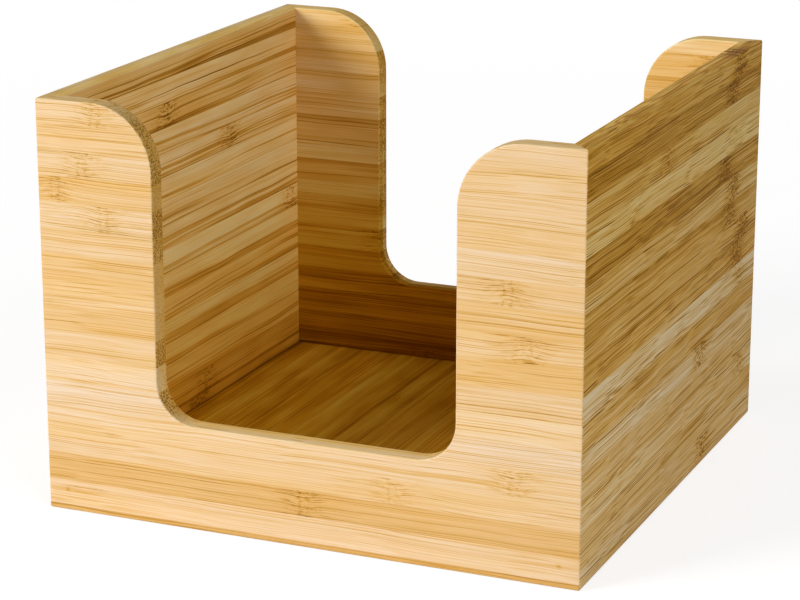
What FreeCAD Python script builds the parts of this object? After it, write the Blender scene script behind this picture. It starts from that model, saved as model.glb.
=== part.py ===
import FreeCAD, Part
import os

# Square napkin holder: four mitred bamboo walls round a floor board that sits in a groove.
# Millimetres. The origin is the centre of the footprint, on the table. +X runs to the right
# along the front, +Y runs from the front wall to the back wall, +Z is up.

# Driving dimensions
outer_width = 180.0          # along X
outer_depth = 180.0          # along Y
outer_height = 134.0         # along Z
wall_thickness = 6.7         # planed bamboo board of the walls
floor_thickness = 4.0        # thinner board of the floor

post_width = 40.0            # solid part of the front and back wall, each side of the cut-out
cutout_bottom = 34.0         # height of the cut-out's lower edge above the table
cutout_corner_radius = 13.0  # inner corners at the bottom of the cut-out
post_corner_radius = 21.0    # outer round at the top of each post

rim_below_groove = 2.9       # wall left under the floor groove
groove_depth = 3.0           # how far the groove goes into the walls
groove_slack = 0.15          # groove height beyond the floor's thickness
floor_play = 0.4             # gap left round the floor's edge, so that the board can swell

eased_edge = 0.6             # round on every edge that a hand meets
overshoot = 2.0              # how far a cutting solid passes the face that it cuts

# Derived sizes
half_width = outer_width / 2
half_depth = outer_depth / 2
inner_width = outer_width - 2 * wall_thickness
inner_depth = outer_depth - 2 * wall_thickness
cutout_half_width = half_width - post_width
groove_height = floor_thickness + groove_slack


def centred_box(width, depth, bottom, top):
    """A box centred on the Z axis, from one height to another."""
    corner = FreeCAD.Vector(-width / 2, -depth / 2, bottom)
    return Part.makeBox(width, depth, top - bottom, corner)


def quarter_arc(centre_x, centre_z, radius, start_angle):
    """A quarter circle in the XZ plane; the angle is counted from +X towards +Z."""
    toward_front = FreeCAD.Vector(0, -1, 0)
    centre = FreeCAD.Vector(centre_x, 0, centre_z)
    return Part.makeCircle(radius, centre, toward_front, start_angle, start_angle + 90)


def cutout_outline():
    """The U cut-out with its open top, as a closed wire in the XZ plane.

    It is rounded inwards at the bottom and flares outwards over the tops of the posts.
    """
    side = cutout_half_width
    flare = side + post_corner_radius
    bottom_bend = cutout_bottom + cutout_corner_radius
    top_bend = outer_height - post_corner_radius
    above = outer_height + overshoot
    low = cutout_corner_radius
    high = post_corner_radius

    def point(x, z):
        return FreeCAD.Vector(x, 0, z)

    edges = [
        Part.makeLine(point(-side + low, cutout_bottom), point(side - low, cutout_bottom)),
        quarter_arc(side - low, bottom_bend, low, 270),
        Part.makeLine(point(side, bottom_bend), point(side, top_bend)),
        quarter_arc(flare, top_bend, high, 90),
        Part.makeLine(point(flare, outer_height), point(flare, above)),
        Part.makeLine(point(flare, above), point(-flare, above)),
        Part.makeLine(point(-flare, above), point(-flare, outer_height)),
        quarter_arc(-flare, top_bend, high, 0),
        Part.makeLine(point(-side, top_bend), point(-side, bottom_bend)),
        quarter_arc(-side + low, bottom_bend, low, 180),
    ]
    return Part.Wire(edges)


def cutout_cutter():
    """The cut-out's solid, long enough to open the front and the back wall in one pass."""
    face = Part.Face(cutout_outline())
    face.translate(FreeCAD.Vector(0, -half_depth - overshoot, 0))
    return face.extrude(FreeCAD.Vector(0, outer_depth + 2 * overshoot, 0))


def is_eased(edge):
    """True for the edges that are sanded round: all but the ones inside the box and under it."""
    box = edge.BoundBox
    beyond_inside = max(abs(box.Center.x) - inner_width / 2, abs(box.Center.y) - inner_depth / 2)
    is_inside_corner = box.ZLength > outer_height / 2 and beyond_inside < 0.01
    is_inner_foot = box.ZMax < 0.01 and beyond_inside < 0.01
    return not (is_inside_corner or is_inner_foot)


def wall_ring():
    """The glued-up ring of walls with its cut-outs, eased edges and floor groove."""
    ring = centred_box(outer_width, outer_depth, 0, outer_height)
    ring = ring.cut(centred_box(inner_width, inner_depth, -overshoot, outer_height + overshoot))
    ring = ring.cut(cutout_cutter())
    ring = ring.makeFillet(eased_edge, [edge for edge in ring.Edges if is_eased(edge)])
    groove = centred_box(inner_width + 2 * groove_depth, inner_depth + 2 * groove_depth,
                         rim_below_groove, rim_below_groove + groove_height)
    return ring.cut(groove)


def mitre_wedge(turn):
    """The space of one wall between its two 45 degree mitres.

    The wedge is drawn for the front wall and turned about Z in steps of a quarter turn.
    """
    long_side, across = (outer_width, outer_depth) if turn % 180 == 0 else (outer_depth, outer_width)
    reach = wall_thickness + overshoot
    outer_x = long_side / 2 + overshoot
    inner_x = long_side / 2 - reach
    outer_y = -across / 2 - overshoot
    inner_y = -across / 2 + reach
    corners = [(-outer_x, outer_y), (outer_x, outer_y), (inner_x, inner_y), (-inner_x, inner_y)]
    points = [FreeCAD.Vector(x, y, -overshoot) for x, y in corners]
    wedge = Part.Face(Part.makePolygon(points + points[:1]))
    wedge = wedge.extrude(FreeCAD.Vector(0, 0, outer_height + 2 * overshoot))
    wedge.rotate(FreeCAD.Vector(0, 0, 0), FreeCAD.Vector(0, 0, 1), turn)
    return wedge


def floor_panel():
    """The floor board, whose edges lie on the lower side of the groove."""
    grip = 2 * (groove_depth - floor_play)
    return centred_box(inner_width + grip, inner_depth + grip,
                       rim_below_groove, rim_below_groove + floor_thickness)


def single_solid(shape):
    """The one solid that a boolean cut should have left."""
    solids = shape.removeSplitter().Solids
    if len(solids) != 1:
        raise ValueError("expected one solid, found %d" % len(solids))
    return solids[0]


ring = wall_ring()
parts = {
    "front_panel": single_solid(ring.common(mitre_wedge(0))),
    "right_panel": single_solid(ring.common(mitre_wedge(90))),
    "back_panel": single_solid(ring.common(mitre_wedge(180))),
    "left_panel": single_solid(ring.common(mitre_wedge(270))),
    "floor_panel": floor_panel(),
}

os.makedirs("parts", exist_ok=True)
for name, shape in parts.items():
    shape.exportStep("parts/%s.step" % name)
    print("%-12s volume %7.1f cm3, %d faces, valid %s"
          % (name, shape.Volume / 1000, len(shape.Faces), shape.isValid()))
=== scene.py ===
# %% [markdown]
# # A square bamboo napkin holder
#
# Five boards of laminated bamboo make this box: four walls that meet in mitred corners and a thinner
# floor held in a groove. The solids come finished from the CAD model, with their real sizes and with every
# edge eased that a hand meets. What is left for Blender is what the eye reads as bamboo: the strips that a
# board is glued up from, the dark fibre bundles, the growth nodes, and the matt oiled finish in soft light.

# %% Load the frame
import math
from types import SimpleNamespace

import bpy
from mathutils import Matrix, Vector


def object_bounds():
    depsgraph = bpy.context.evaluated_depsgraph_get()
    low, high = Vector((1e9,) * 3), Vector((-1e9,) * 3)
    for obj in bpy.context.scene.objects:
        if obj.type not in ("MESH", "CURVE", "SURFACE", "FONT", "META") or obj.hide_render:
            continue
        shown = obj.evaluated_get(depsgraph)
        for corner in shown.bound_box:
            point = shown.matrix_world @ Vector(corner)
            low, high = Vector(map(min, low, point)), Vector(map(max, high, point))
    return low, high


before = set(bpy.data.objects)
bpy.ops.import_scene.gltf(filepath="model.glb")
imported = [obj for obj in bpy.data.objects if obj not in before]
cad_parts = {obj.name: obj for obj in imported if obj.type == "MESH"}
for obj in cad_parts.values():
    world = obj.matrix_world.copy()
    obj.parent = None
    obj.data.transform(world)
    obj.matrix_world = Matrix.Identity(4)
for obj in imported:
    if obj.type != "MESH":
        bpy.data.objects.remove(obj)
cad_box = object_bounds()
lowest, highest = Vector(cad_box[0]), Vector(cad_box[1])
middle = (lowest + highest) / 2
MM_PER_M = 1000.0
print("boards:", sorted(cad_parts))
print("box in mm:", [round(side * MM_PER_M, 1) for side in highest - lowest])

# %% [markdown]
# ## Smooth rounds on flat-faced boards
#
# A CAD mesh arrives as loose triangles, so the rounds on the posts and on the eased edges would show
# their facets. Merging the loose corners and shading smooth wherever two faces meet at a small angle
# keeps the flats flat and the rounds round. It is done with modifiers, so the mesh itself stays as it is.

# %% Weld and smooth by angle
WELD_DISTANCE = 0.000002          # m
SMOOTH_BELOW = math.radians(24)


def smooth_by_angle_group():
    """A node group that shades faces smooth and keeps the edges above an angle sharp."""
    group = bpy.data.node_groups.new("smooth_by_angle", "GeometryNodeTree")
    group.interface.new_socket("Geometry", in_out="INPUT", socket_type="NodeSocketGeometry")
    group.interface.new_socket("Geometry", in_out="OUTPUT", socket_type="NodeSocketGeometry")
    start = group.nodes.new("NodeGroupInput")
    end = group.nodes.new("NodeGroupOutput")
    angle = group.nodes.new("GeometryNodeInputMeshEdgeAngle")
    is_sharp = group.nodes.new("FunctionNodeCompare")
    is_sharp.operation = "GREATER_THAN"
    is_sharp.inputs["B"].default_value = SMOOTH_BELOW
    all_smooth = group.nodes.new("GeometryNodeSetShadeSmooth")
    all_smooth.domain = "FACE"
    sharp_edges = group.nodes.new("GeometryNodeSetShadeSmooth")
    sharp_edges.domain = "EDGE"
    sharp_edges.inputs["Shade Smooth"].default_value = False
    link = group.links.new
    link(start.outputs["Geometry"], all_smooth.inputs["Geometry"])
    link(all_smooth.outputs["Geometry"], sharp_edges.inputs["Geometry"])
    link(angle.outputs["Unsigned Angle"], is_sharp.inputs["A"])
    link(is_sharp.outputs["Result"], sharp_edges.inputs["Selection"])
    link(sharp_edges.outputs["Geometry"], end.inputs["Geometry"])
    return group


smooth_group = smooth_by_angle_group()
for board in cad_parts.values():
    weld = board.modifiers.new("weld", "WELD")
    weld.merge_threshold = WELD_DISTANCE
    smooth = board.modifiers.new("smooth", "NODES")
    smooth.node_group = smooth_group
print("smoothed", len(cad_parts), "boards")

# %% [markdown]
# ## Shader maths as plain sums
#
# The bamboo is worked out from the place of each point, which takes many small sums. A Math node for
# each would be hard to read, so a socket is wrapped in a class whose operators add the nodes: with it,
# `tone - 0.3 * dash` is written just like that. One method makes every other kind of node, and the
# few kinds that come up again and again have a method of their own that calls it.

# %% A socket that can be used in sums


def set_ramp(ramp, interpolation, stops):
    """Fills a colour ramp from (place, (red, green, blue)) pairs in order of place."""
    ramp.interpolation = interpolation
    while len(ramp.elements) > 1:
        ramp.elements.remove(ramp.elements[-1])
    for number, (place, colour) in enumerate(stops):
        stop = ramp.elements[0] if number == 0 else ramp.elements.new(place)
        stop.position = place
        stop.color = (*colour, 1.0)


class Value:
    """A socket of a node tree, which can be used in sums like a number."""

    def __init__(self, tree, socket=None):
        self.tree = tree
        self.socket = socket

    def node(self, kind, settings, sockets, output=0):
        """Adds one shader node: its settings first, then the values or links of its sockets."""
        made = self.tree.nodes.new("ShaderNode" + kind)
        for name, setting in settings.items():
            if name == "stops":
                set_ramp(made.color_ramp, *setting)
            else:
                setattr(made, name, setting)
        for name, value in sockets.items():
            if isinstance(value, Value):
                self.tree.links.new(value.socket, made.inputs[name])
            else:
                made.inputs[name].default_value = value
        return Value(self.tree, made.outputs[output] if made.outputs else None)

    def other(self, output):
        """Another output of the node that this socket belongs to."""
        return Value(self.tree, self.socket.node.outputs[output])

    def math(self, operation, first, second=0.0):
        """One Math node."""
        return self.node("Math", {"operation": operation}, {0: first, 1: second})

    def __add__(self, other):
        return self.math("ADD", self, other)

    def __radd__(self, other):
        return self.math("ADD", other, self)

    def __sub__(self, other):
        return self.math("SUBTRACT", self, other)

    def __rsub__(self, other):
        return self.math("SUBTRACT", other, self)

    def __mul__(self, other):
        return self.math("MULTIPLY", self, other)

    def __rmul__(self, other):
        return self.math("MULTIPLY", other, self)

    def __truediv__(self, other):
        return self.math("DIVIDE", self, other)

    def __neg__(self):
        return self.math("MULTIPLY", self, -1.0)

    def __abs__(self):
        return self.math("ABSOLUTE", self)

    def floor(self):
        return self.math("FLOOR", self)

    def fraction(self):
        return self.math("FRACT", self)

    def sign(self):
        return self.math("SIGN", self)

    def sine(self):
        return self.math("SINE", self)

    def bell(self, width):
        """1 where this value is 0, falling smoothly to 0 at a few widths on either side."""
        steps = self * (1 / width)
        return self.math("EXPONENT", -(steps * steps))

    def fade(self, low, high, at_low=0.0, at_high=1.0):
        """A smooth step from at_low to at_high as this value goes from low to high."""
        return self.node("MapRange", {"interpolation_type": "SMOOTHSTEP"},
                         {"Value": self, "From Min": low, "From Max": high,
                          "To Min": at_low, "To Max": at_high})

    def ramp(self, stops, interpolation="LINEAR"):
        """The colour that a ramp has at this value."""
        return self.node("ValToRGB", {"stops": (interpolation, stops)}, {0: self})

    def split(self):
        """The red part of this colour; its other parts are the node's other outputs."""
        return self.node("SeparateColor", {}, {0: self}, "Red")

    def tinted(self, tint):
        """This colour times another."""
        return self.node("VectorMath", {"operation": "MULTIPLY"}, {0: self, 1: tint})


def blank_sheet(owner):
    """The node tree of a material or of the world, emptied for new nodes."""
    owner.use_nodes = True
    owner.node_tree.nodes.clear()
    return Value(owner.node_tree)


print("a socket can be added, multiplied, faded, turned into a bell and sent through a ramp")

# %% [markdown]
# ## What a bamboo board is
#
# A cane is split into strips, and the strips are planed square, turned on edge and glued side by side.
# So the face of a board shows strips about 8 mm wide. Each comes from another cane, with its own tone and
# its own growth node somewhere along it. In a strip the dark fibre bundles crowd towards the side that was
# the skin of the cane.
#
# Each strip is listed, from the foot up or from left to right: its tone from 0, dark, to 1, pale,
# the place of its node along the board in mm, and how strongly the node shows.

# %% The strips of each board
STRIP = 8.3   # height of one strip, mm

STRIPS = {
    "front_panel": [
        (0.56, 40, 0.0), (0.84, -30, 0.0), (0.66, 0, 1.0), (0.82, 30, 0.8), (0.85, 69, 0.9),
        (0.85, -60, 0.0), (0.88, -40, 0.0), (0.78, 10, 0.0), (0.73, -75, 0.0), (0.79, 72, 1.0),
        (0.74, -60, 0.0), (0.77, 66, 0.9), (0.81, -67, 0.8), (0.75, -84, 0.9), (0.79, -74, 0.9),
        (0.77, 75, 0.0), (0.78, -69, 0.8)],
    # The right wall's lower strips are paler: partly their own tone, partly painted light from the white
    # table.
    "right_panel": [
        (0.84, 30, 0.0), (0.88, 33, 0.7), (0.78, -60, 0.0), (0.90, 75, 0.5), (0.76, -20, 0.0),
        (0.82, 28, 0.8), (0.68, 60, 0.0), (0.89, 70, 0.4), (0.62, 66, 0.9), (0.64, 72, 1.0),
        (0.58, 56, 0.9), (0.68, 60, 1.0), (0.44, 50, 0.9), (0.88, 60, 0.3), (0.68, -15, 0.4),
        (0.42, 55, 1.0), (0.54, 64, 1.0)],
    "left_panel": [
        (0.54, 0, 0.0), (0.42, 2, 0.8), (0.53, 8, 0.6), (0.79, 40, 0.0), (0.92, -30, 0.0),
        (0.90, 20, 0.0), (0.82, 70, 0.0), (0.94, -40, 0.0), (0.98, 78, 1.0), (0.90, -10, 0.0),
        (0.88, 55, 0.0), (0.94, 30, 0.0), (0.90, 29, 1.0), (0.88, -35, 0.0), (0.78, -17, 1.0),
        (0.84, 64, 0.0), (0.70, 10, 0.0)],
    # The five lowest strips of the back are darker to paint the shade deep in the box.
    "back_panel": [
        (0.33, 10, 0.0), (0.20, -30, 0.6), (0.25, 50, 0.0), (0.31, -60, 0.0), (0.41, 62, 0.8),
        (0.54, 0, 0.0), (0.73, -51, 0.9), (0.66, 70, 0.0), (0.76, -50, 0.0), (0.65, 80, 0.6),
        (0.81, -72, 0.0), (0.66, 55, 0.0), (0.75, -60, 0.0), (0.74, 66, 0.8), (0.69, 77, 0.8),
        (0.74, 74, 0.9), (0.79, -57, 0.8)],
    # The floor's strips are darker than the walls', which paints the shade in the depth of the box.
    "floor_panel": [
        (0.66, 10, 0.0), (0.62, -60, 0.7), (0.70, 40, 0.0), (0.60, 70, 0.0), (0.68, -20, 0.8),
        (0.64, 62, 0.0), (0.72, 0, 0.0), (0.58, -50, 0.0), (0.66, 35, 0.7), (0.70, -75, 0.0),
        (0.62, 15, 0.0), (0.68, 55, 0.6), (0.60, -35, 0.0), (0.72, 74, 0.0), (0.66, -10, 0.8),
        (0.62, 48, 0.0), (0.70, -66, 0.0), (0.64, 25, 0.0), (0.68, -42, 0.7), (0.66, 60, 0.0),
        (0.62, 5, 0.0), (0.70, -25, 0.0)],
}
print({name: len(strips) for name, strips in STRIPS.items()})

# %% [markdown]
# ## How each board was cut
#
# The same pattern serves all five boards once it knows which way the grain runs (`along`), which way the
# strips are stacked (`across`, from `first` on), which way the thickness goes (`through`) and where the
# outer face lies. The rest says what sort of cane the board was sawn from, and what light and shade are
# painted into its colour:
#
# - `seed` picks the chances of the board's strips.
# - `skin_up` is the share of strips with the skin side of the cane upwards, and `band` is how dark that is.
# - `bow`, `dive` and `sway` are how far the fibres bow out at a node, slant to the face and waver.
# - `soft` and `cloud` are how strong the broad streaks are, and `long` is how long they are.
# - `lines`, `hair` and `thread` are how plainly the fibre bundles, and still finer streaks, show.
# - `seam`, `arris_highlight` and `cut` belong to the glue lines, the rubbed edges, painted paler as a
#   highlight, and the end grain.
# - `knot` and `rung` are the specks and the two cross-lines of a node.
# - `calm` fades the contrast between two heights, from one share to another.
# - `painted_shade_slope` is how much paler the inner face grows near its foot with each mm along it, a
#   painted shade that darkens the back's inner foot towards the right wall, and `lift` is how much paler
#   the outer face is there, which takes the painted shade of the back's dark low strips off its outer face.
# - `foot` is the two heights between which the tint of the foot (`low`) gives way to that of the top. Each
#   face has its own two tints, which hold the board's own colour and also paint light and shade: inside,
#   the darker, more saturated foot and the darker floor are painted shade, and the paler left wall is
#   painted light; outside, the right wall is darker as painted shade and paler at its foot as a painted
#   reflection of the white table.

# %% Board layout
FRONT_OR_BACK = {"along": "X", "across": "Z", "through": "Y", "thickness": 6.7}
LEFT_OR_RIGHT = {"along": "Y", "across": "Z", "through": "X", "thickness": 6.7}
FLOOR = {"along": "Y", "across": "X", "through": "Z", "thickness": 4.0}
FULL_CONTRAST = {"calm": (0.0, 1.0, 1.0, 1.0)}
EVEN_FOOT = {"painted_shade_slope": 0.0, "lift": 0.0}

LAYOUT = {
    "front_panel": {
        **FRONT_OR_BACK, **FULL_CONTRAST, **EVEN_FOOT, "outer_face": -90.0,
        "first": -6.4, "seed": 3, "skin_up": 0.5, "bow": 1.0, "dive": 0.026, "sway": 0.8, "long": 150.0,
        "band": 0.03, "soft": 0.06, "lines": 0.42, "hair": 0.32, "thread": 0.30, "seam": 0.03,
        "arris_highlight": 0.08, "cut": 0.02, "cloud": 0.09, "knot": 0.26, "rung": 0.20, "foot": (10.0, 125.0),
        "outer_colour_and_light": (0.96, 0.99, 1.20), "outer_foot_colour_and_light": (0.98, 1.00, 1.20),
        "inner_colour_and_light": (1.00, 1.01, 1.10), "inner_foot_colour_and_shade": (1.00, 0.95, 0.75)},
    "back_panel": {
        **FRONT_OR_BACK, "outer_face": 90.0, "calm": (96.0, 126.0, 1.0, 0.5), "painted_shade_slope": -0.0018, "lift": 0.30,
        "first": -4.5, "seed": 17, "skin_up": 0.7, "bow": 0.8, "dive": 0.010, "sway": 0.3, "long": 60.0,
        "band": 0.22, "soft": 0.50, "lines": 0.66, "hair": 0.30, "thread": 0.08, "seam": 0.04,
        "arris_highlight": 0.10, "cut": -0.05, "cloud": 0.30, "knot": 0.40, "rung": 0.16, "foot": (42.0, 134.0),
        "outer_colour_and_light": (1.00, 0.98, 0.92), "outer_foot_colour_and_light": (1.00, 0.98, 0.92),
        "inner_colour_and_light": (1.03, 1.09, 1.18), "inner_foot_colour_and_shade": (0.84, 0.73, 0.13)},
    "left_panel": {
        **LEFT_OR_RIGHT, **EVEN_FOOT, "outer_face": -90.0, "calm": (8.0, 45.0, 0.60, 1.0),
        "first": -5.9, "seed": 29, "skin_up": 0.0, "bow": 0.9, "dive": 0.006, "sway": 0.25, "long": 200.0,
        "band": 0.43, "soft": 0.20, "lines": 0.60, "hair": 0.34, "thread": 0.05, "seam": 0.26,
        "arris_highlight": 0.14, "cut": 0.08, "cloud": 0.32, "knot": 0.80, "rung": 0.16, "foot": (10.0, 125.0),
        "outer_colour_and_light": (0.95, 1.01, 1.22), "outer_foot_colour_and_light": (0.95, 1.00, 1.12),
        "inner_colour_and_light": (1.10, 1.12, 1.00), "inner_foot_colour_and_shade": (1.10, 1.06, 0.46)},
    "right_panel": {
        **LEFT_OR_RIGHT, **FULL_CONTRAST, **EVEN_FOOT, "outer_face": 90.0,
        "first": -6.2, "seed": 41, "skin_up": 0.4, "bow": 0.6, "dive": 0.034, "sway": 0.9, "long": 110.0,
        "band": 0.08, "soft": 0.08, "lines": 1.40, "hair": 1.45, "thread": 0.12, "seam": 0.08,
        "arris_highlight": 0.14, "cut": 0.08, "cloud": 0.24, "knot": 1.40, "rung": 0.12, "foot": (30.0, 134.0),
        "outer_colour_and_light": (0.88, 0.85, 0.58), "outer_foot_colour_and_light": (0.98, 0.98, 0.92),
        "inner_colour_and_light": (1.06, 1.12, 1.10), "inner_foot_colour_and_shade": (1.06, 1.12, 1.00)},
    "floor_panel": {
        **FLOOR, **FULL_CONTRAST, **EVEN_FOOT, "outer_face": 2.9,
        "first": -91.3, "seed": 53, "skin_up": 0.5, "bow": 1.0, "dive": 0.010, "sway": 0.6, "long": 90.0,
        "band": 0.24, "soft": 0.52, "lines": 0.34, "hair": 0.10, "thread": 0.05, "seam": 0.16,
        "arris_highlight": 0.14, "cut": 0.08, "cloud": 0.56, "knot": 0.40, "rung": 0.13, "foot": (10.0, 125.0),
        "outer_colour_and_light": (0.96, 0.94, 0.84), "outer_foot_colour_and_light": (0.96, 0.94, 0.84),
        "inner_colour_and_light": (0.87, 0.79, 0.42), "inner_foot_colour_and_shade": (0.86, 0.77, 0.16)},
}
print("grain:", {name: board["along"] for name, board in LAYOUT.items()})

# %% [markdown]
# ## The bamboo itself
#
# The steps follow the cane. First comes the strip that a point lies in, with its own tone and node. Then
# the fibres are bent where they pass a node, and drift a little, as a cane is never quite straight.
#
# The fibre bundles are the cells of a flat Voronoi pattern that lies across the cane, and each runs the
# whole length. A bundle lies at a slight slant to the sawn face, so it comes up to it, shows as a fine
# dark line for a few centimetres and dives again. Where the board is cut across, the same cells show as
# dots. That one pattern is why the lines on a face and the speckle on the cut edge belong together.

# %% Where a point lies in its strip
PLACE_SPAN = 200.0   # the ramp keeps a node's place as a share of this many mm, centred on the board


def strip_facts(place, board, name):
    """Where a point lies, in mm, and what is known of its strip.

    The list of strips becomes a ramp without blending, which keeps each strip's three numbers as a
    colour. Three more numbers, the same all over a strip, come from a noise.
    """
    x = place.node("SeparateXYZ", {}, {0: place}, "X")
    along, across, through = (x.other(board[key]) for key in ("along", "across", "through"))
    row = (across - board["first"]) / STRIP
    number = row.floor()
    strips = STRIPS[name]
    share = 1 / len(strips)
    stops = [(k * share, (tone, spot / PLACE_SPAN + 0.5, strength))
             for k, (tone, spot, strength) in enumerate(strips)]
    listed = ((number + 0.5) * share).ramp(stops, "CONSTANT").split()
    chance = place.node("TexWhiteNoise", {"noise_dimensions": "1D"},
                        {"W": number + board["seed"]}, "Color").split()
    return SimpleNamespace(
        x=x, y=x.other("Y"), height=x.other("Z"), along=along, through=through,
        number=number, inside=row.fraction(), tone=listed,
        from_node=along - (listed.other("Green") - 0.5) * PLACE_SPAN, node_strength=listed.other("Blue"),
        side=(board["skin_up"] - chance).sign(), drift=chance.other("Green") - 0.5,
        pick=chance.other("Blue"))


print("strips of", STRIP, "mm")

# %% How the fibres run
NODE_REACH = 5.0           # how far along the cane a node bends them, mm
DRIFT = 0.030              # spread of the fibres' slopes against the strip, half to either side
LINE_WAVES = (45.0, 0.0)   # length in mm and start of their waves up and down the face
LINE_SWING = 1.6           # height of these waves, mm
DEPTH_WAVES = (30.0, 2.6)  # length in mm and start of their waves in and out of it
WAVE_SHIFT = 5.3           # how far on in the waves the next strip starts, so that no two are alike


def wander(strip, long, start):
    """A slow drift to either side along the strip, from about -0.5 to 0.5, another in each strip."""
    where = strip.along.node("CombineXYZ", {}, {0: strip.along * (1 / long),
                                                1: strip.number * WAVE_SHIFT + start})
    noise = where.node("TexNoise", {"noise_dimensions": "2D"},
                       {"Vector": where, "Scale": 1.0, "Detail": 1.0})
    return noise - 0.5


def fibre_line(strip, board):
    """The height of a point in its strip, in mm, measured along fibres that bow and drift."""
    bow = strip.from_node.bell(NODE_REACH) * (strip.inside * math.pi).sine() * strip.node_strength
    return (strip.inside * STRIP - strip.side * bow * board["bow"]
            + wander(strip, *LINE_WAVES) * LINE_SWING + strip.drift * strip.along * DRIFT)


def fibre_depth(strip, board):
    """The depth of a point in the cane's wall, in mm, measured from fibres that slant to the face."""
    slant = (strip.pick - 0.5) * board["dive"]
    return strip.through + strip.along * slant + wander(strip, *DEPTH_WAVES) * board["sway"]


print("fibres bend within", NODE_REACH, "mm of a node and wave by", LINE_SWING, "mm")

# %% Fibre bundles, streaks, dashes and specks
STRIP_SHIFT = 3.7          # the same as WAVE_SHIFT for marks, across the strip
LENGTH_SHIFT = 7.31        # and for streaks, along it
BUNDLE_EDGE = (0.5, 1.25)  # a bundle fades out between these shares of its radius
DASH_EDGE = (0.11, 0.27)   # and a dash between these shares of a cell
SPECK_GRAIN = (0.4, 1.2)   # specks to a mm, along and across
SPECK_EDGE = (0.52, 0.62)  # the part of the noise that shows as specks
SPECK_REACH = 6.5          # how far from a node they lie, mm


def bundles(strip, line, depth, apart, thick, start):
    """Fibre bundles so many mm apart and thick, from 0 between them to 1 in the darkest."""
    where = line.node("CombineXYZ", {}, {0: line * (1 / apart) + strip.number * STRIP_SHIFT + start,
                                         1: depth * (1 / apart)})
    cells = line.node("TexVoronoi", {"voronoi_dimensions": "2D"}, {"Vector": where, "Scale": 1.0})
    darkness = cells.other("Color").split()
    radius = 0.5 * thick / apart
    return cells.fade(radius * BUNDLE_EDGE[0], radius * BUNDLE_EDGE[1], 1.0, 0.0) * darkness


def streaks(strip, line, depth, long, high, deep, detail):
    """Soft streaks, from -0.5 to 0.5, of so many mm."""
    where = line.node("CombineXYZ", {}, {0: strip.along * (1 / long) + strip.number * LENGTH_SHIFT,
                                         1: line * (1 / high) + strip.number * STRIP_SHIFT,
                                         2: depth * (1 / deep)})
    noise = line.node("TexNoise", {"noise_dimensions": "3D"},
                      {"Vector": where, "Scale": 1.0, "Detail": detail, "Roughness": 0.55})
    return noise - 0.5


def dashes(strip, line, long, high):
    """Short dark dashes, as the torn fibres of a node leave them."""
    where = line.node("CombineXYZ", {}, {0: strip.from_node * (1 / long) + 0.5,
                                         1: line * (1 / high) + strip.number * STRIP_SHIFT})
    cells = line.node("TexVoronoi", {"voronoi_dimensions": "2D"}, {"Vector": where, "Scale": 1.0})
    darkness = cells.other("Color").split().other("Green")
    return cells.fade(*DASH_EDGE, 1.0, 0.0) * darkness.fade(0.0, 0.6)


def specks(strip, line):
    """The small dark specks that crowd at a node, from 0 to 1."""
    where = line.node("CombineXYZ", {}, {0: strip.from_node * SPECK_GRAIN[0],
                                         1: line * SPECK_GRAIN[1] + strip.number * STRIP_SHIFT})
    noise = line.node("TexNoise", {"noise_dimensions": "2D"},
                      {"Vector": where, "Scale": 1.0, "Detail": 3.0, "Roughness": 0.7})
    return noise.fade(*SPECK_EDGE) * strip.from_node.bell(SPECK_REACH) * strip.node_strength


print("specks lie within", SPECK_REACH, "mm of a node")

# %% [markdown]
# ## From marks to a colour
#
# What part of the board a point belongs to follows from its height, its depth in the board and the way the
# surface faces there. The marks of the cane are worked out next. Both together raise or lower the strip's
# tone, and a ramp turns the tone into a colour, from the darkest fibre to the palest strip.

# %% What part of the board a point belongs to
INSIDE = 83.3          # from the middle to the inner faces of the walls, mm
FLOOR_TOP = 6.9        # mm
# Round the floor a dark line and a wider shade beside it are painted shade, where floor and walls meet.
PAINTED_SHADOW_LINE = 0.7        # width of the dark line round the floor, mm
PAINTED_CORNER_SHADE = 10.0      # width of the shade beside it, mm
# How squarely the surface faces a way, from 0 to 1, is read as a share between two of these.
TURNED = (0.30, 0.95)
ROUND_START, ROUND_END = (0.12, 0.35), (0.90, 0.99)
OFF_FACE = (0.20, 0.80)


def part_facts(surface, strip, board):
    """Shares from 0 to 1 that say what part of the board a point belongs to."""
    normal = surface.node("SeparateXYZ", {}, {0: surface.other("Normal")}, board["along"])
    facing = abs(normal.other(board["through"]))
    long_edge = abs(normal.other(board["across"]))
    thickness = board["thickness"]
    inward = abs(strip.through - board["outer_face"]).fade(thickness * 0.35, thickness * 0.65)
    low = strip.height.fade(*board["foot"], 1.0, 0.0)
    from_sides, from_ends = abs(strip.x) - INSIDE, abs(strip.y) - INSIDE
    painted_shadow_line = from_sides.bell(PAINTED_SHADOW_LINE) + from_ends.bell(PAINTED_SHADOW_LINE)
    painted_corner_shade = from_sides.bell(PAINTED_CORNER_SHADE) + from_ends.bell(PAINTED_CORNER_SHADE)
    # The arris is the rubbed round between two faces, which the tone paints paler as a highlight. The cut
    # is 0 on a face, 0.5 on end grain and 1 on an edge that runs with the grain. The nook is the corner
    # between the floor and a wall, where a dark line and a wider shade on the floor are painted shade.
    return SimpleNamespace(
        end_grain=abs(normal).fade(*TURNED),
        arris_highlight=facing.fade(*ROUND_START) * facing.fade(*ROUND_END, 1.0, 0.0),
        cut=facing.fade(*OFF_FACE, 0.5, 0.0) + long_edge.fade(*TURNED, 0.0, 0.5),
        calm=strip.height.fade(*board["calm"]), low=low, inward=inward,
        outer_foot=low.fade(0.75, 1.0) * inward.fade(0.0, 1.0, 1.0, 0.0),
        painted_nook_shade=(strip.height - FLOOR_TOP).bell(0.6) * (painted_shadow_line + painted_corner_shade * 0.6))


print("inner faces", INSIDE, "mm from the middle, floor's top at", FLOOR_TOP, "mm")

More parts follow.
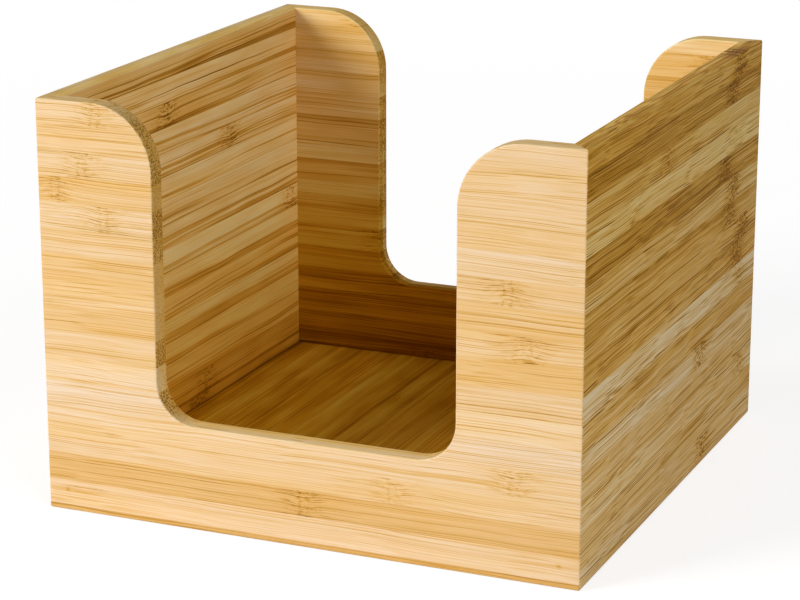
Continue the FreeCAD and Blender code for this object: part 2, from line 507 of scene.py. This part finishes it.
# %% Every mark of the cane
# Streaks: their length, height and depth in mm, and how much detail they have.
FINE_STREAKS = (130.0, 0.75, 2.5, 2.0)
HAIRS = (170.0, 0.34, 1.2, 1.0)
CLOUDS = (24.0, 5.0, 9.0, 1.5)
BROAD_STREAKS = (2.8, 6.0, 1.0)     # the same without the length, which is the board's own
WARM_STREAKS = (90.0, 6.0, 9.0, 1.0)
# Bundles: mm apart, mm thick, and where in the pattern they start.
STRONG_BUNDLES = (0.85, 0.34, 0.0)
WEAK_BUNDLES = (0.38, 0.22, 31.7)
PALE_BUNDLES = (0.60, 0.30, 77.1)
END_DOTS = (0.80, 0.62, 112.3)
TORN_FIBRES = (13.0, 0.50)          # mm long, mm apart
TORN_REACH = 9.0                    # how far from a node fibres are torn, mm
SHADE_REACH = 8.0                   # how far from a node the strip is darker, mm
RUNG = (1.3, 0.30)                  # how far from a node its two cross-lines lie, and their width, mm
CROOKED = (3.0, 2.0)                # how far fine streaks and clouds pull them out of line
SKIN_START = 0.62                   # where bundles begin to crowd, from 0, pith, to 1, skin
RIDGE_EDGE = (-0.02, 0.13)          # the part of the streaks that shows as a dark ridge
HAIR_OFFSET = 40.0                  # keeps hairs from following the fine streaks, mm
SEAM_WIDTH = 0.02                   # share of a strip


def cane_marks(strip, part, board):
    """The streaks, lines, dashes and specks at a point."""
    line, depth = fibre_line(strip, board), fibre_depth(strip, board)
    fine = streaks(strip, line, depth, *FINE_STREAKS)
    hair = streaks(strip, line + HAIR_OFFSET, depth, *HAIRS)
    cloud = streaks(strip, line, depth, *CLOUDS)
    broad = streaks(strip, line, depth, board["long"], *BROAD_STREAKS)
    skin = (strip.inside - 0.5) * strip.side + 0.5
    crowd = (skin - SKIN_START) * strip.pick.fade(0.0, 0.6, 0.25, 0.50)
    crooked = strip.from_node + fine * CROOKED[0] + cloud * CROOKED[1]
    cross_lines = (abs(crooked) - RUNG[0]).bell(RUNG[1])
    return SimpleNamespace(
        fine=fine, hair=hair, cloud=cloud, broad=broad,
        ridge=(fine + broad * 0.7 + crowd).fade(*RIDGE_EDGE),
        strong=bundles(strip, line, depth, *STRONG_BUNDLES),
        weak=bundles(strip, line, depth, *WEAK_BUNDLES),
        pale=bundles(strip, line, depth, *PALE_BUNDLES),
        dots=bundles(strip, line, depth, *END_DOTS) * part.end_grain * strip.pick.fade(0.2, 0.8),
        shade=strip.from_node.bell(SHADE_REACH) * strip.node_strength,
        torn=dashes(strip, line, *TORN_FIBRES) * strip.from_node.bell(TORN_REACH) * strip.node_strength,
        specks=specks(strip, line),
        rung=cross_lines * (hair + fine).fade(-0.10, 0.12),
        seam=(abs(strip.inside - 0.5) - 0.5).bell(SEAM_WIDTH),
        warmth=streaks(strip, line, depth, *WARM_STREAKS) + (strip.pick - 0.5) * 0.5)


print("bundles", STRONG_BUNDLES[0], "and", WEAK_BUNDLES[0], "mm apart")

# %% Tone
# What each mark takes from the tone, or adds to it, besides what the board's own list says.
# One of these weights is the painted shade of the dark corner round the floor.
WEIGHT = SimpleNamespace(
    fine=0.10, pale=0.07, strong=0.60, weak=0.46, dots=0.75, end_grain=0.26, painted_nook_shade=0.20,
    shade=0.01, shade_by_knot=0.10, specks=0.60, torn=0.36, torn_by_knot=0.20)
THREAD_EDGE = (0.03, 0.18)          # the part of the hairs that shows as dark threads


def tone_of(strip, part, marks, board):
    """How pale a point is, from about 0 to 1: the strip's own tone, changed by each mark and by painted
    light and shade.
    """
    shade = WEIGHT.shade + WEIGHT.shade_by_knot * board["knot"]
    torn = WEIGHT.torn + WEIGHT.torn_by_knot * board["knot"]
    bundle = (marks.strong * WEIGHT.strong + marks.weak * WEIGHT.weak) * board["lines"]
    rung = marks.rung * strip.node_strength * strip.pick.fade(0.0, 0.5, 0.3, 1.0)
    tone = strip.tone + marks.fine * WEIGHT.fine + marks.hair * board["hair"]
    tone = tone - marks.hair.fade(*THREAD_EDGE) * board["thread"]
    # Along the inner foot the back grows darker towards the right wall as painted shade; on the outer foot
    # the lift takes the painted shade of the dark low strips off again.
    tone = tone + strip.along * part.low * part.inward * board["painted_shade_slope"] + part.outer_foot * board["lift"]
    # The dark corner round the floor is painted shade.
    tone = tone - marks.shade * shade - part.painted_nook_shade * WEIGHT.painted_nook_shade + marks.cloud * board["cloud"]
    tone = tone + part.calm * (marks.broad * board["soft"] - marks.ridge * board["band"])
    # The paler rubbed round between faces is a painted highlight.
    tone = tone + marks.pale * WEIGHT.pale + part.arris_highlight * board["arris_highlight"]
    tone = tone - part.end_grain * (board["cut"] + strip.pick * WEIGHT.end_grain)
    tone = tone - marks.dots * WEIGHT.dots - bundle * part.calm * (0.70 + marks.ridge * 0.5)
    tone = tone - marks.specks * WEIGHT.specks * board["knot"] - marks.torn * torn
    return tone - rung * board["rung"] - marks.seam * board["seam"]


print("weights:", vars(WEIGHT))

# %% Colour
# Tone to colour, from the darkest fibre to the palest strip.
BAMBOO_TONES = (
    (0.00, (0.220, 0.085, 0.008)),
    (0.20, (0.400, 0.182, 0.022)),
    (0.40, (0.600, 0.308, 0.052)),
    (0.60, (0.745, 0.438, 0.128)),
    (0.76, (0.815, 0.548, 0.245)),
    (0.90, (0.870, 0.660, 0.385)),
    (1.00, (0.900, 0.735, 0.490)),
)
# Between strips of one tone, some are more orange and some more cream.
WARMTH = ((0.20, (1.00, 0.96, 0.82)), (0.50, (1.00, 1.00, 1.00)), (0.80, (0.99, 1.02, 1.10)))
# Oil soaks into the cut edges: from a face over the end grain to an edge that runs with the grain.
CUT_TINT = ((0.0, (1.00, 1.00, 1.00)), (0.5, (0.95, 1.00, 0.86)), (1.0, (0.92, 0.94, 0.84)))
# A board's four tints share one ramp: the outer face at its top and foot, then the inner face. Besides
# the board's own colour they hold painted light and shade, such as the darker foot inside the box.
LOW_STEP, INNER_STEP = 0.33, 0.67


def colour_of(tone, part, marks, board):
    """The colour of a tone, tinted by face and height, partly as painted light and shade, by the cut and by
    the strip's warmth.
    """
    tints = ((0.0, board["outer_colour_and_light"]), (LOW_STEP, board["outer_foot_colour_and_light"]),
             (INNER_STEP, board["inner_colour_and_light"]), (1.0, board["inner_foot_colour_and_shade"]))
    colour = tone.ramp(BAMBOO_TONES)
    colour = colour.tinted((part.inward * INNER_STEP + part.low * LOW_STEP).ramp(tints))
    colour = colour.tinted(part.cut.ramp(CUT_TINT))
    return colour.tinted((marks.warmth + 0.5).ramp(WARMTH))


print("from", BAMBOO_TONES[0][1], "to", BAMBOO_TONES[-1][1])

# %% The finished material
GLOSS = 0.005           # oiled bamboo has next to no shine
ROUGHNESS = 0.60        # of the sawn face
RELIEF = 0.00005        # depth of the open grain, m
RELIEF_STRENGTH = 0.25


def bamboo(name):
    """The material of one board."""
    board = LAYOUT[name]
    material = bpy.data.materials.new("bamboo_" + name)
    sheet = blank_sheet(material)
    surface = sheet.node("TexCoord", {}, {}, "Object")
    place = sheet.node("VectorMath", {"operation": "SCALE"}, {0: surface, "Scale": MM_PER_M})
    strip = strip_facts(place, board, name)
    part = part_facts(surface, strip, board)
    marks = cane_marks(strip, part, board)
    colour = colour_of(tone_of(strip, part, marks, board), part, marks, board)

    relief = marks.fine * 0.5 - marks.strong - marks.weak * 0.6 - marks.torn
    bump = relief.node("Bump", {}, {
        "Strength": RELIEF_STRENGTH, "Distance": RELIEF, "Height": relief})
    roughness = ROUGHNESS + part.end_grain * 0.12 - marks.fine * 0.08
    shader = sheet.node("BsdfPrincipled", {}, {
        "Base Color": colour, "Roughness": roughness, "Normal": bump, "Specular IOR Level": GLOSS})
    sheet.node("OutputMaterial", {}, {"Surface": shader})
    return material


for name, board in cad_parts.items():
    board.data.materials.clear()
    board.data.materials.append(bamboo(name))
print("materials:", sorted(m.name for m in bpy.data.materials))

# %% [markdown]
# ## A white table and white surroundings
#
# The box stands on a plain white table. When the table is looked at, most of its white is its own light,
# and the rest comes from the lamps, so that it is a clean white on which the box still casts a soft shadow.
# Further off it turns into pure white, as a paper sweep does. The world is white to the camera too, and a
# much dimmer white to the box itself, where it only keeps the shadows from going black.

# %% Table
TABLE_SIDE = 8.0         # m
TABLE_DROP = 0.0002      # m below the box, so that the two faces don't share a plane
TABLE_SHADE = 0.80       # what the table gives back to the box
OWN_LIGHT = 0.76         # the table's own white when it is looked at
SHADOW_SHADE = 0.36      # how much of the lamps' light it shows on top of that
SWEEP = (0.25, 0.80)     # m from the middle over which the table turns into pure white


def seen_directly(sheet):
    """1 for rays from the camera, in mirrors and through glass, 0 for rays that light the scene."""
    path = sheet.node("LightPath", {}, {}, "Is Camera Ray")
    seen = path + path.other("Is Glossy Ray") + path.other("Is Transmission Ray")
    return sheet.math("MINIMUM", seen, 1.0)


def white_light(sheet, kind, strength):
    """White light of its own, for the table or for the world."""
    return sheet.node(kind, {}, {"Color": (1.0, 1.0, 1.0, 1.0), "Strength": strength})


def matt_grey(sheet, shade):
    """A matt surface that gives back so much of the light."""
    return sheet.node("BsdfDiffuse", {}, {"Color": (shade, shade, shade, 1.0)})


table_material = bpy.data.materials.new("white_table")
sheet = blank_sheet(table_material)
near = sheet.node("AddShader", {}, {
    0: matt_grey(sheet, SHADOW_SHADE), 1: white_light(sheet, "Emission", OWN_LIGHT)})
spot = sheet.node("TexCoord", {}, {}, "Object")
away = sheet.node("VectorMath", {"operation": "LENGTH"}, {0: spot}, "Value").fade(*SWEEP)
shown = sheet.node("MixShader", {}, {0: away, 1: near, 2: white_light(sheet, "Emission", 1.0)})
finish = sheet.node("MixShader", {}, {0: seen_directly(sheet), 1: matt_grey(sheet, TABLE_SHADE), 2: shown})
sheet.node("OutputMaterial", {}, {"Surface": finish})

bpy.ops.mesh.primitive_plane_add(size=TABLE_SIDE, location=(0, 0, lowest.z - TABLE_DROP))
table = bpy.context.object
table.name = "table"
table.data.materials.append(table_material)
print("table top at", round(table.location.z * MM_PER_M, 2), "mm")

# %% World
FILL = 0.09              # how bright the surroundings are to the box

world = bpy.data.worlds.new("white_room")
bpy.context.scene.world = world
sheet = blank_sheet(world)
dim, bright = white_light(sheet, "Background", FILL), white_light(sheet, "Background", 1.0)
room = sheet.node("MixShader", {}, {0: seen_directly(sheet), 1: dim, 2: bright})
sheet.node("OutputWorld", {}, {"Surface": room})
print("fill light", FILL)

# %% [markdown]
# ## Three soft lamps
#
# A large window to the front left lights the front and, through the cut-outs, the inside of the right
# wall, from where warm light falls back on the left wall. A weaker one on the right keeps the right side
# alive, and one behind does the same for the back. The depth of the box is left in its own shade.

# %% Lamps
LAMP_DISTANCE = 2.2      # m from the middle of the box


def soft_lamp(name, azimuth, elevation, side, power):
    """A square lamp aimed at the middle of the box; azimuth is counted from the front to the right."""
    lamp = bpy.data.lights.new(name, "AREA")
    lamp.shape = "SQUARE"
    lamp.size = side
    lamp.energy = power
    lamp_object = bpy.data.objects.new(name, lamp)
    lamp_object.visible_camera = False
    bpy.context.scene.collection.objects.link(lamp_object)
    azimuth, elevation = math.radians(azimuth), math.radians(elevation)
    toward = Vector((math.sin(azimuth) * math.cos(elevation),
                     -math.cos(azimuth) * math.cos(elevation),
                     math.sin(elevation)))
    lamp_object.location = middle + toward * LAMP_DISTANCE
    lamp_object.rotation_euler = toward.to_track_quat("Z", "Y").to_euler()
    print(name, "at", [round(v, 2) for v in lamp_object.location])


soft_lamp("window", azimuth=-40, elevation=22, side=1.0, power=44.0)
soft_lamp("side_fill", azimuth=60, elevation=37, side=1.4, power=19.0)
soft_lamp("back_fill", azimuth=180, elevation=8, side=1.4, power=22.0)

# %% [markdown]
# ## The camera
#
# The box is looked at from the front right and a little above, through a long lens, so that the front is
# seen almost square on and the right side in short.

# %% Camera
SENSOR = 36.0                    # mm
LENS = 119.6                     # mm
EYE = Vector((0.3283, -0.7825, 0.3044))
TURN = math.radians(23.15)       # to the left of straight ahead
DOWN = math.radians(16.36)       # below the level

lens = bpy.data.cameras.new("camera")
lens.sensor_width = SENSOR
lens.lens = LENS
camera = bpy.data.objects.new("camera", lens)
camera.location = EYE
camera.rotation_euler = (math.pi / 2 - DOWN, 0.0, TURN)
bpy.context.scene.collection.objects.link(camera)
bpy.context.scene.camera = camera
print("camera", round((EYE - middle).length, 3), "m from the middle of the box")

# %% [markdown]
# ## Finish
#
# The scene adds no view transform of its own, so that colours come out as they are written.

# %% View settings
bpy.context.scene.view_settings.view_transform = "Standard"
